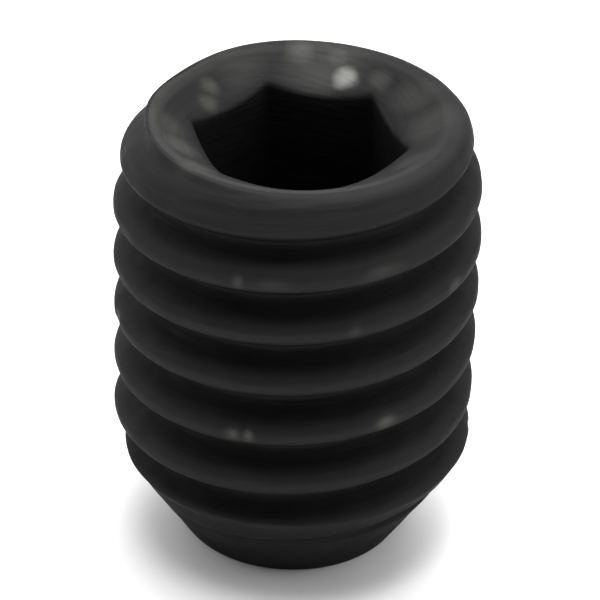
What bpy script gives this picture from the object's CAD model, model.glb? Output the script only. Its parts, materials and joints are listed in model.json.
"""Black set screw standing on its cup point, socket up, on a white table under soft light."""

import json
import math

import bpy
import numpy as np
from mathutils import Matrix, Vector


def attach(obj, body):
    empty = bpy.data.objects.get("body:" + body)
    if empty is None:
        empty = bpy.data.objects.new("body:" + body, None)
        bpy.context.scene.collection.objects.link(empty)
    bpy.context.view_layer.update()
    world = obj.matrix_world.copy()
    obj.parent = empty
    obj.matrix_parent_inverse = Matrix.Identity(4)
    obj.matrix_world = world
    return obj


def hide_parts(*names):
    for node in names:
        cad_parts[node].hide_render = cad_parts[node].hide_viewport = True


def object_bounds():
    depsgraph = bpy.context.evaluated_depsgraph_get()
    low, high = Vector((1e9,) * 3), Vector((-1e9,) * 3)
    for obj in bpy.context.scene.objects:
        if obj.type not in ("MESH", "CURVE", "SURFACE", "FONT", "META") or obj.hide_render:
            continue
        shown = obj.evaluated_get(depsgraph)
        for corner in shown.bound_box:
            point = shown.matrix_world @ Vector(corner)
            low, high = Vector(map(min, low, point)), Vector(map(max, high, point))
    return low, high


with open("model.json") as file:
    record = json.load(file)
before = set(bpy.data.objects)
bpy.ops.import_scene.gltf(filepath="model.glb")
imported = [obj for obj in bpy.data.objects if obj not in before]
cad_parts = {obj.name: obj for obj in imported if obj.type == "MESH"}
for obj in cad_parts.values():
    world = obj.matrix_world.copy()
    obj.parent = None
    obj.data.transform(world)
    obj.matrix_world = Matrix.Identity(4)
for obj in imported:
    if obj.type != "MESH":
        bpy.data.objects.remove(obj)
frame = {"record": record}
cad_low, cad_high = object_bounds()


# ---- Set screw -------------------------------------------------------------------------
# One piece of hardened alloy steel, an M8 screw with no head. A blank is forged with its
# hexagon socket, the thread is rolled over its whole length, and the screw is blackened in a
# hot oxide bath and dipped in oil.

MM = 0.001
mount_dims = {m["name"]: m["dims"] for m in frame["record"]["mounts"]}

# Sizes are in millimetres and slopes in radians. An "ease" or "blend" is the distance over
# which one surface is rounded into the next.
# thread
length = (cad_high.z - cad_low.z) / MM
crest_radius = mount_dims["thread"]["r_mm"]
root_radius = 3.24
pitch = 1.25
crest_flat = 0.30
crest_ease = 0.20
root_ease = 0.25
flank = math.radians(30)
thread_start = math.radians(58)

# point
point_radius = 2.44
point_land = 0.28
point_edge = 0.12
point_slope = math.radians(32.5)
cup_slope = math.radians(59)

# socket end
rim_radius = crest_radius - 0.38
rim_round = 0.3
run_in_slope = math.radians(15)
trim_ease = 0.1
collar_low = length - 0.806
collar_rise = math.tan(math.radians(39.5))
collar_radius = crest_radius - 0.6
collar_ease = 0.1
collar_end_height = 0.3
collar_end_depth = 0.14
mouth_round = 0.35
countersink_slope = math.radians(30)

# low places in the rim's side, where the groove runs out: direction and half width in
# degrees, depth. They start this far below the end, and are whole after this rise.
rim_lows = [(156, 28, 0.24), (200, 18, 0.08)]
rim_low_height = 0.9
rim_low_rise = 0.5

# hexagon socket and its drilled bottom
socket_half = 4.03 / 2
socket_depth = mount_dims["key_socket"]["length_mm"]
socket_corner = 0.02
socket_corner_ease = 0.05
socket_edge = 0.05
mouth_radius = socket_half / math.cos(math.pi / 6) + 0.72
pilot_radius = socket_half - 0.06
pilot_slope = math.radians(59)

# nicks in the crests: direction in degrees, number of the turn, half length and depth
nicks = [(264, 6, 0.10, 0.03), (275, 6, 0.28, 0.015), (309, 6, 0.40, 0.02), (340, 5, 0.22, 0.03),
         (263, 3, 0.14, 0.04), (268, 3, 0.10, 0.05), (312, 3, 0.22, 0.06), (300, 5, 0.12, 0.02),
         (205, 4, 0.20, 0.04), (150, 6, 0.15, 0.05), (95, 3, 0.30, 0.03), (40, 5, 0.18, 0.04),
         (120, 2, 0.20, 0.04), (10, 2, 0.15, 0.03), (70, 6, 0.12, 0.05), (180, 2, 0.25, 0.03)]
nick_half_width = 0.13
rub_for_depth = 9

# slow waver of the crests: depth, half width, and waves as (per radian, share, start)
waver_depth = 0.018
waver_half_width = 0.2
waves = [(3.1, 0.5, 0), (7.3, 0.3, 1), (17.9, 0.2, 2)]

# wear of the mouth's edge: how bare, how much that swings round the edge, and where it is most
mouth_rub = 0.12
mouth_rub_swing = 0.10
mouth_rub_toward = math.radians(225)

columns = 396
row_height = 0.052
angle = np.linspace(0, 2 * math.pi, columns, endpoint=False)


def arc(centre_r, centre_z, radius, start, end, steps):
    """Points along an arc in the (radius, height) plane, from start to end in degrees."""
    a = np.radians(np.linspace(start, end, steps + 1))
    return np.stack([centre_r + radius * np.cos(a), centre_z + radius * np.sin(a)], axis=-1)


def shares(steps, after_first=1, before_last=0):
    """Even shares from 0 to 1 as a column, without the given number at either end."""
    return np.linspace(0, 1, steps + 1)[after_first:steps + 1 - before_last, None]


def soft_min(a, b, blend):
    """The smaller of two values, rounded where they come within blend of each other."""
    near = np.clip(1 - np.abs(a - b) / blend, 0, 1)
    return np.minimum(a, b) - near**2 * blend / 4


def turns_climbed(a, z):
    """Turns of the thread from its start to a height, less the share of a turn to an angle. It
    is a whole number along the middle of the crest."""
    return z / pitch - (a - thread_start) / (2 * math.pi)


def thread_radius(a, z):
    """Radius of the rolled thread at an angle and a height. The crest climbs one pitch a turn.
    Past half its flat the radius falls by the distance along the axis over the flank's tangent,
    down to the root, and the corners are rounded. At the top the groove runs out in a slope up
    to the collar, whose own end is rounded by a quarter of an ellipse."""
    turns = turns_climbed(a, z)
    from_crest = np.abs(turns - np.round(turns)) * pitch
    slope = crest_radius - (from_crest - crest_flat / 2) / math.tan(flank)
    r = soft_min(slope, crest_radius, crest_ease)
    r = -soft_min(-r, -root_radius, root_ease)
    to_end = np.clip((z - length + collar_end_height) / collar_end_height, 0, 1)
    end_radius = collar_radius - collar_end_depth * (1 - np.sqrt(1 - to_end**2))
    collar = np.minimum(root_radius + (z - collar_low) * collar_rise, end_radius)
    return -soft_min(-r, -collar, collar_ease)


def crest_damage(a, z):
    """How deep the crest is dented and how far its black is rubbed off, at an angle and a height.
    A nick is a flat-bottomed dip: e to the minus fourth power of the distance along the crest
    over its half length, times the same of the distance across. It is rubbed in proportion to
    its depth, by the same bell curve with squares. Between nicks the crest only wavers, by a sum
    of sines of the angle travelled along the thread."""
    turns = turns_climbed(a, z)
    turn = np.round(turns)
    across = (turns - turn) * pitch
    travelled = a + 2 * math.pi * turn
    waver = sum(share * np.sin(per_radian * travelled + start)
                for per_radian, share, start in waves)
    dent = waver_depth * (1 + waver) * np.exp(-(across / waver_half_width) ** 2)
    worn = np.zeros_like(dent)
    for degrees, number, half_length, depth in nicks:
        along = (travelled - math.radians(degrees) - 2 * math.pi * number) * crest_radius
        along, beside = (along / half_length) ** 2, (across / nick_half_width) ** 2
        dent = dent + depth * np.exp(-along**2 - beside**2)
        worn = np.maximum(worn, rub_for_depth * depth * np.exp(-along - beside))
    return dent, worn


def rim_cut(a, z):
    """How deep the thread's run-out cuts the side of the rim: a bell curve of the angle about
    each low place, times a ramp that eases in and out as it rises to the end."""
    cut = 0.0
    for degrees, half_width, depth in rim_lows:
        turned = (np.degrees(a) - degrees + 180) % 360 - 180
        cut = cut + depth * np.exp(-(turned / half_width) ** 2)
    ramp = np.clip((z - length + rim_low_height) / rim_low_rise, 0, 1)
    return cut * ramp * ramp * (3 - 2 * ramp)


def outline_radius(z):
    """Radius of the trimmed blank at a height: the smaller of the point's cone and the run-in
    below the rim, blended where they meet."""
    cone = point_radius + z * math.tan(point_slope)
    run_in = rim_radius + (length - z) * math.tan(run_in_slope)
    return soft_min(cone, run_in, trim_ease)


def outline_blend(z):
    """Distance over which the thread is rounded into the blank's outline. It widens from the
    middle of the screw up to the last millimetre."""
    return 0.08 + 0.17 * np.clip((z - length / 2) / (length / 2 - 1), 0, 1)


def socket_radius(a):
    """Distance from the axis to the hexagon's wall: half its width across flats over the cosine
    of the angle from the nearest flat's middle, eased at the corners."""
    from_flat = a % (math.pi / 3) - math.pi / 6
    corner = socket_half / math.cos(math.pi / 6) - socket_corner
    return soft_min(socket_half / np.cos(from_flat), corner, socket_corner_ease)


def countersink_height(r):
    """Height of the countersink's cone at a radius."""
    return length - (mouth_radius - r) * math.tan(countersink_slope)


def ring_rows(points):
    """Rows of the grid that are the same all round: one (radius, height) point to a row."""
    points = np.asarray(points, float)
    return [np.repeat(points[:, k:k + 1], columns, axis=1) for k in (0, 1)]


def screw_rows():
    """Radius and height of every point of the skin, a row of the grid for each step along the
    section from the cup's tip, out over the thread, in over the rim and down the socket. Also
    how bare each point is, and the heights of the two tips on the axis."""
    cup_radius = point_radius - point_land
    cup_depth = cup_radius / math.tan(cup_slope)
    share = shares(7, before_last=1)
    cup = ring_rows(np.hstack([cup_radius * share, cup_depth * (1 - share)]))
    ring = ring_rows([[cup_radius - 0.02, 0.015], [cup_radius + 0.02, 0.0],
                      [point_radius - 0.09, 0.0]])
    edge_in = point_edge * math.tan(math.pi / 4 - point_slope / 2)
    edge = ring_rows(arc(point_radius - edge_in, point_edge, point_edge,
                         -90, -math.degrees(point_slope), 4))

    rim_in = rim_round * math.tan(math.pi / 4 - run_in_slope / 2)
    rim = arc(rim_radius - rim_in, length - rim_round, rim_round,
              math.degrees(run_in_slope), 90, 12)
    low = edge[1][-1, 0]
    high = rim[0, 1]
    steps = int(round((high - low) / row_height))
    z = np.repeat(np.linspace(low, high, steps + 1)[1:-1, None], columns, axis=1)
    rim = ring_rows(rim)
    outside_r = np.vstack([outline_radius(z), rim[0]])
    outside_z = np.vstack([z, rim[1]])
    outside_r = soft_min(outside_r, thread_radius(angle[None, :], outside_z),
                         outline_blend(outside_z))
    dent, worn = crest_damage(angle[None, :], outside_z)
    outside_r = outside_r - dent - rim_cut(angle[None, :], outside_z)

    mouth_in = mouth_round * math.tan(countersink_slope / 2)
    mouth = arc(mouth_radius + mouth_in, length - mouth_round, mouth_round, 90, 120, 7)
    land_r = outside_r[-1] + (mouth[0, 0] - outside_r[-1]) * shares(4, before_last=1)
    land = [land_r, np.full_like(land_r, length)]
    mouth = ring_rows(mouth)

    wall_r = socket_radius(angle)
    mouth_end = mouth[0][-1, 0]
    sink_r = mouth_end + (wall_r + socket_edge - mouth_end) * shares(5)
    sink = [sink_r, countersink_height(sink_r)]
    wall_top = countersink_height(wall_r) - socket_edge
    floor_z = length - socket_depth
    share = np.append([0, 0.008, 0.03], np.linspace(0.1, 1, 9))[:, None]
    wall = [np.repeat(wall_r[None, :], len(share), axis=0), wall_top + (floor_z - wall_top) * share]
    share = shares(5, after_first=0, before_last=1)
    cone = ring_rows(np.hstack([pilot_radius * (1 - share),
                                floor_z - pilot_radius * share / math.tan(pilot_slope)]))

    parts = [cup, ring, edge, [outside_r, outside_z], land, mouth, sink, wall, cone]
    bare = [np.zeros_like(part[0]) for part in parts]
    bare[3] = worn
    bare[5] = np.broadcast_to(mouth_rub + mouth_rub_swing * np.cos(angle - mouth_rub_toward),
                              mouth[0].shape)
    tips = (cup_depth, floor_z - pilot_radius / math.tan(pilot_slope))
    return np.vstack([p[0] for p in parts]), np.vstack([p[1] for p in parts]), np.vstack(bare), tips


def closed_mesh(name, r, z, bare, tips):
    """A closed skin from rows of points round the axis: four-sided faces between neighbours,
    and a fan at each end to a point on the axis."""
    rows = len(r)
    points = np.stack([r * np.cos(angle), r * np.sin(angle), z], axis=-1).reshape(-1, 3)
    points = np.vstack([points, [[0, 0, tips[0]], [0, 0, tips[1]]]]) * MM
    i, j = np.meshgrid(np.arange(rows - 1), np.arange(columns), indexing="ij")
    beside = (j + 1) % columns
    quads = np.stack([i * columns + j, i * columns + beside,
                      (i + 1) * columns + beside, (i + 1) * columns + j], axis=-1).reshape(-1, 4)
    j = np.arange(columns)
    beside = (j + 1) % columns
    low_tip = np.full(columns, rows * columns)
    last_row = (rows - 1) * columns
    fans = np.vstack([np.stack([low_tip, beside, j], axis=-1),
                      np.stack([low_tip + 1, last_row + j, last_row + beside], axis=-1)])
    corners = np.concatenate([quads.ravel(), fans.ravel()])
    starts = np.concatenate([np.arange(len(quads)) * 4, len(quads) * 4 + np.arange(len(fans)) * 3])
    mesh = bpy.data.meshes.new(name)
    mesh.vertices.add(len(points))
    mesh.vertices.foreach_set("co", points.ravel())
    mesh.loops.add(len(corners))
    mesh.loops.foreach_set("vertex_index", corners)
    mesh.polygons.add(len(starts))
    mesh.polygons.foreach_set("loop_start", starts)
    mesh.polygons.foreach_set("use_smooth", np.ones(len(starts), bool))
    mesh.update(calc_edges=True)
    mesh.validate()
    worn = mesh.attributes.new("worn", "FLOAT", "POINT")
    worn.data.foreach_set("value", np.append(bare.ravel(), [0, 0]))
    return mesh


# places on the socket end where the key has rubbed the oxide off: direction in degrees,
# distance from the axis, depth below the end, half size, how bare
rubs = [(79.5, 2.50, 0.3, 0.42, 1.0), (101, 2.95, 0.1, 0.60, 0.22), (86, 2.92, 0.1, 0.50, 0.20),
        (62, 2.65, 0.2, 0.40, 0.12), (150, 2.60, 0.3, 0.36, 0.16), (159, 2.30, 0.4, 0.36, 0.14),
        (90, 2.75, 0.2, 1.30, 0.12), (130, 2.80, 0.2, 0.80, 0.07), (195, 2.75, 0.2, 0.60, 0.10),
        (212, 2.70, 0.2, 0.70, 0.18), (235, 2.85, 0.1, 0.60, 0.16), (340, 2.70, 0.2, 0.60, 0.08),
        (15, 2.80, 0.2, 0.90, 0.09), (40, 2.80, 0.2, 0.70, 0.08)]
rub_core = 0.15
rub_shake = 0.4


def linear(colour):
    """Linear RGBA of an sRGB hex colour."""
    parts = [int(colour[k:k + 2], 16) / 255 for k in (1, 3, 5)]
    return [c / 12.92 if c <= 0.04045 else ((c + 0.055) / 1.055) ** 2.4 for c in parts] + [1.0]


def add_node(tree, kind, links=(), inputs=(), **settings):
    """Add a node, set its properties and named input values, set each (input, value) and link
    each (input, output socket)."""
    node = tree.nodes.new(kind)
    for key, value in settings.items():
        if hasattr(node, key):
            setattr(node, key, value)
        else:
            node.inputs[key.replace("_", " ")].default_value = value
    for socket, value in inputs:
        node.inputs[socket].default_value = value
    for socket, source in links:
        tree.links.new(node.inputs[socket], source)
    return node


def black_oxide_steel():
    """Hot black oxide on forged and rolled steel, lightly oiled: a matte black, a shade lighter
    on the crests and the socket end than down in the grooves, in blotches about 0.9 mm across.
    The skin is uneven over about 0.8 mm, fine marks run along the thread 0.09 mm apart, and the
    oxide's grain is 0.1 mm. The crests' nicks and the places that the key rubs show grey
    steel."""
    material = bpy.data.materials.new("black_oxide_steel")
    material.use_nodes = True
    tree = material.node_tree
    shader = tree.nodes["Principled BSDF"]
    per_mm = 1 / MM

    place = add_node(tree, "ShaderNodeTexCoord").outputs["Object"]
    xyz = add_node(tree, "ShaderNodeSeparateXYZ", [(0, place)])
    sideways = add_node(tree, "ShaderNodeCombineXYZ", [(0, xyz.outputs[0]), (1, xyz.outputs[1])])
    radius = add_node(tree, "ShaderNodeVectorMath", [(0, sideways.outputs[0])], operation="LENGTH")

    # 0 down in the groove, 1 on the crests, and 1 all over the socket end
    crest = add_node(tree, "ShaderNodeMapRange", [("Value", radius.outputs["Value"])],
                     interpolation_type="SMOOTHSTEP", From_Min=(crest_radius - 0.45) * MM,
                     From_Max=(crest_radius - 0.05) * MM)
    top = add_node(tree, "ShaderNodeMapRange", [("Value", xyz.outputs[2])],
                   interpolation_type="SMOOTHSTEP", From_Min=(length - 1.0) * MM,
                   From_Max=(length - 0.5) * MM)
    open_skin = add_node(tree, "ShaderNodeMath", [(0, crest.outputs[0]), (1, top.outputs[0])],
                         operation="MAXIMUM")

    # patterns, by how many of their features there are in a millimetre
    blotches = add_node(tree, "ShaderNodeTexNoise", [("Vector", place)], Scale=1.1 * per_mm,
                        Detail=3.0, Roughness=0.6)
    lumps = add_node(tree, "ShaderNodeTexNoise", [("Vector", place)], Scale=1.3 * per_mm,
                     Detail=1.0, Roughness=0.4)
    grain = add_node(tree, "ShaderNodeTexNoise", [("Vector", place)], Scale=9 * per_mm,
                     Detail=2.0, Roughness=0.5)

    # marks that run along the thread: they change quickly with the distance from the crest
    # along the axis, 14 times a pitch, and slowly with the place
    around = add_node(tree, "ShaderNodeMath", [(0, xyz.outputs[1]), (1, xyz.outputs[0])],
                      operation="ARCTAN2")
    behind = add_node(tree, "ShaderNodeMath", [(0, around.outputs[0])],
                      [(1, -0.5 / math.pi), (2, thread_start / (2 * math.pi))],
                      operation="MULTIPLY_ADD")
    turns = add_node(tree, "ShaderNodeMath", [(0, xyz.outputs[2]), (2, behind.outputs[0])],
                     [(1, per_mm / pitch)], operation="MULTIPLY_ADD")
    from_crest = add_node(tree, "ShaderNodeMath", [(0, turns.outputs[0])], [(1, 0.5)],
                          operation="PINGPONG")
    spread = add_node(tree, "ShaderNodeMath", [(0, from_crest.outputs[0])], [(1, 14.0)],
                      operation="MULTIPLY")
    stretch = add_node(tree, "ShaderNodeVectorMath", [(0, place)], operation="SCALE",
                       Scale=0.8 * per_mm)
    marks = add_node(tree, "ShaderNodeTexNoise",
                     [("Vector", stretch.outputs[0]), ("W", spread.outputs[0])],
                     noise_dimensions="4D", Scale=1.0, Detail=2.0, Roughness=0.5)

    # the oxide's two blacks
    tone = add_node(tree, "ShaderNodeMath", [(0, blotches.outputs[0]), (2, open_skin.outputs[0])],
                    [(1, 0.6)], operation="MULTIPLY_ADD")
    tone = add_node(tree, "ShaderNodeMapRange", [("Value", tone.outputs[0])], From_Min=0.3,
                    From_Max=1.4)
    black = add_node(tree, "ShaderNodeMix", [("Factor", tone.outputs[0])], data_type="RGBA")
    black.inputs["A"].default_value = linear("#1f1f1f")
    black.inputs["B"].default_value = linear("#272727")

    # bare steel in the nicks and in the rubbed places, whose outlines the blotches shake
    worn = add_node(tree, "ShaderNodeAttribute", attribute_name="worn")
    bare = add_node(tree, "ShaderNodeMath", [(0, worn.outputs["Fac"]), (1, blotches.outputs[0])],
                    operation="MULTIPLY").outputs[0]
    shaken = add_node(tree, "ShaderNodeVectorMath", [(0, blotches.outputs["Color"]), (2, place)],
                      [(1, (rub_shake * MM,) * 3)], operation="MULTIPLY_ADD")
    for degrees, r, depth, half_size, strength in rubs:
        a = math.radians(degrees)
        centre = (r * math.cos(a), r * math.sin(a), length - depth)
        away = add_node(tree, "ShaderNodeVectorMath", [(0, shaken.outputs[0])],
                        [(1, [(c + rub_shake / 2) * MM for c in centre])], operation="DISTANCE")
        spot = add_node(tree, "ShaderNodeMapRange", [("Value", away.outputs["Value"])],
                        interpolation_type="SMOOTHSTEP", From_Min=rub_core * half_size * MM,
                        From_Max=half_size * MM, To_Min=strength, To_Max=0.0)
        bare = add_node(tree, "ShaderNodeMath", [(0, spot.outputs["Result"]), (1, bare)],
                        operation="MAXIMUM").outputs[0]
    colour = add_node(tree, "ShaderNodeMix", [("Factor", bare), ("A", black.outputs["Result"])],
                      data_type="RGBA")
    colour.inputs["B"].default_value = linear("#7c7c79")
    tree.links.new(shader.inputs["Base Color"], colour.outputs["Result"])

    polish = add_node(tree, "ShaderNodeMapRange", [("Value", blotches.outputs[0])], From_Min=0.3,
                      From_Max=0.7, To_Min=0.54, To_Max=0.64)
    tree.links.new(shader.inputs["Roughness"], polish.outputs[0])

    uneven = add_node(tree, "ShaderNodeBump", [("Height", lumps.outputs[0])], Strength=0.5,
                      Distance=0.12 * MM)
    rolled = add_node(tree, "ShaderNodeBump",
                      [("Height", marks.outputs[0]), ("Normal", uneven.outputs[0])],
                      Strength=0.45, Distance=0.045 * MM)
    oxide = add_node(tree, "ShaderNodeBump",
                     [("Height", grain.outputs[0]), ("Normal", rolled.outputs[0])],
                     Strength=0.3, Distance=0.012 * MM)
    tree.links.new(shader.inputs["Normal"], oxide.outputs[0])
    shader.inputs["Metallic"].default_value = 0.5
    shader.inputs["Specular IOR Level"].default_value = 0.15
    shader.inputs["Specular Tint"].default_value = linear("#606060")
    return material


screw = bpy.data.objects.new("blackened_screw", closed_mesh("blackened_screw", *screw_rows()))
bpy.context.scene.collection.objects.link(screw)
screw.data.materials.append(black_oxide_steel())
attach(screw, "root")
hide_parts("set_screw")


# ---- Table -------------------------------------------------------------------------------
# A plain white table top, far wider than the screw. It is laid with a dull white laminate and
# isn't part of the screw.

table_half = 0.6
corners = [(-1, -1), (1, -1), (1, 1), (-1, 1)]
table_mesh = bpy.data.meshes.new("table")
table_mesh.from_pydata([(x * table_half, y * table_half, 0) for x, y in corners],
                       [], [(0, 1, 2, 3)])
table = bpy.data.objects.new("table", table_mesh)
bpy.context.scene.collection.objects.link(table)
white = bpy.data.materials.new("white_laminate")
white.use_nodes = True
white.node_tree.nodes["Principled BSDF"].inputs["Base Color"].default_value = linear("#f4f4f4")
white.node_tree.nodes["Principled BSDF"].inputs["Roughness"].default_value = 0.8
table_mesh.materials.append(white)


# ---- Light and camera ----------------------------------------------------------------------
# A dim room with large white diffusers above, behind, in front and at the sides, a weak fill
# lamp above the left shoulder, and a long lens that looks down at the screw.

# light of the room itself, and each diffuser: direction, cosine at its soft outer edge, cosine
# where it is full, and the light that it adds
room = 0.04
diffusers = [((-0.2, 0.97, 0.1), 0.6, 0.97, 2.7), ((0.0, 0.447, 0.894), 0.85, 0.98, 5.0),
             ((0.0, 0.0, 1.0), 0.93, 0.995, 7.6), ((0.1, -0.994, 0.05), 0.7, 0.96, 0.72),
             ((-0.995, 0.0, 0.1), 0.7, 0.96, 1.0), ((0.995, 0.0, 0.1), 0.7, 0.96, 0.8),
             ((-0.74, 0.2, 0.64), 0.8, 0.97, 1.6), ((0.74, 0.2, 0.64), 0.8, 0.97, 2.0)]

world = bpy.data.worlds.new("diffusers")
world.use_nodes = True
tree = world.node_tree
direction = add_node(tree, "ShaderNodeTexCoord").outputs["Generated"]
light = None
for toward, start, full, added in diffusers:
    facing = add_node(tree, "ShaderNodeVectorMath", [(0, direction)], [(1, toward)],
                      operation="DOT_PRODUCT")
    lobe = add_node(tree, "ShaderNodeMapRange", [("Value", facing.outputs["Value"])],
                    interpolation_type="SMOOTHSTEP", From_Min=start, From_Max=full, To_Max=added)
    before = [(1, light)] if light else []
    light = add_node(tree, "ShaderNodeMath", [(0, lobe.outputs["Result"]), *before],
                     [(1, room)], operation="ADD").outputs[0]
tree.links.new(tree.nodes["Background"].inputs["Strength"], light)
tree.nodes["Background"].inputs["Color"].default_value = (1, 1, 1, 1)
bpy.context.scene.world = world
bpy.context.scene.view_settings.view_transform = "Standard"

lamp = bpy.data.lights.new("fill_lamp", "AREA")
lamp.size = 0.05
lamp.energy = 0.0005
fill_lamp = bpy.data.objects.new("fill_lamp", lamp)
fill_lamp.location = (-0.05, -0.05, 0.2)
fill_lamp.rotation_euler = fill_lamp.location.to_track_quat("Z", "Y").to_euler()
bpy.context.scene.collection.objects.link(fill_lamp)

image_side = 600
sensor = 36.0
camera_azimuth = math.radians(11.6)
camera_elevation = math.radians(32.9)
camera_roll = math.radians(1.42)
camera_distance = 8.71 * crest_radius * 2 * MM
pixels_per_radian = 3163
aim = Vector((0, 0, length * MM / 2))
aim_pixel = (295.0, 318.0)

camera_data = bpy.data.cameras.new("camera")
camera_data.sensor_width = sensor
camera_data.lens = pixels_per_radian * sensor / image_side
camera_data.shift_x = (image_side / 2 - aim_pixel[0]) / image_side
camera_data.shift_y = (aim_pixel[1] - image_side / 2) / image_side
camera_data.clip_start = 0.001
camera = bpy.data.objects.new("camera", camera_data)
back = Vector((math.sin(camera_azimuth) * math.cos(camera_elevation),
               -math.cos(camera_azimuth) * math.cos(camera_elevation),
               math.sin(camera_elevation)))
turn = back.to_track_quat("Z", "Y").to_matrix().to_4x4() @ Matrix.Rotation(camera_roll, 4, "Z")
camera.matrix_world = Matrix.Translation(aim + back * camera_distance) @ turn
bpy.context.scene.collection.objects.link(camera)
bpy.context.scene.camera = camera
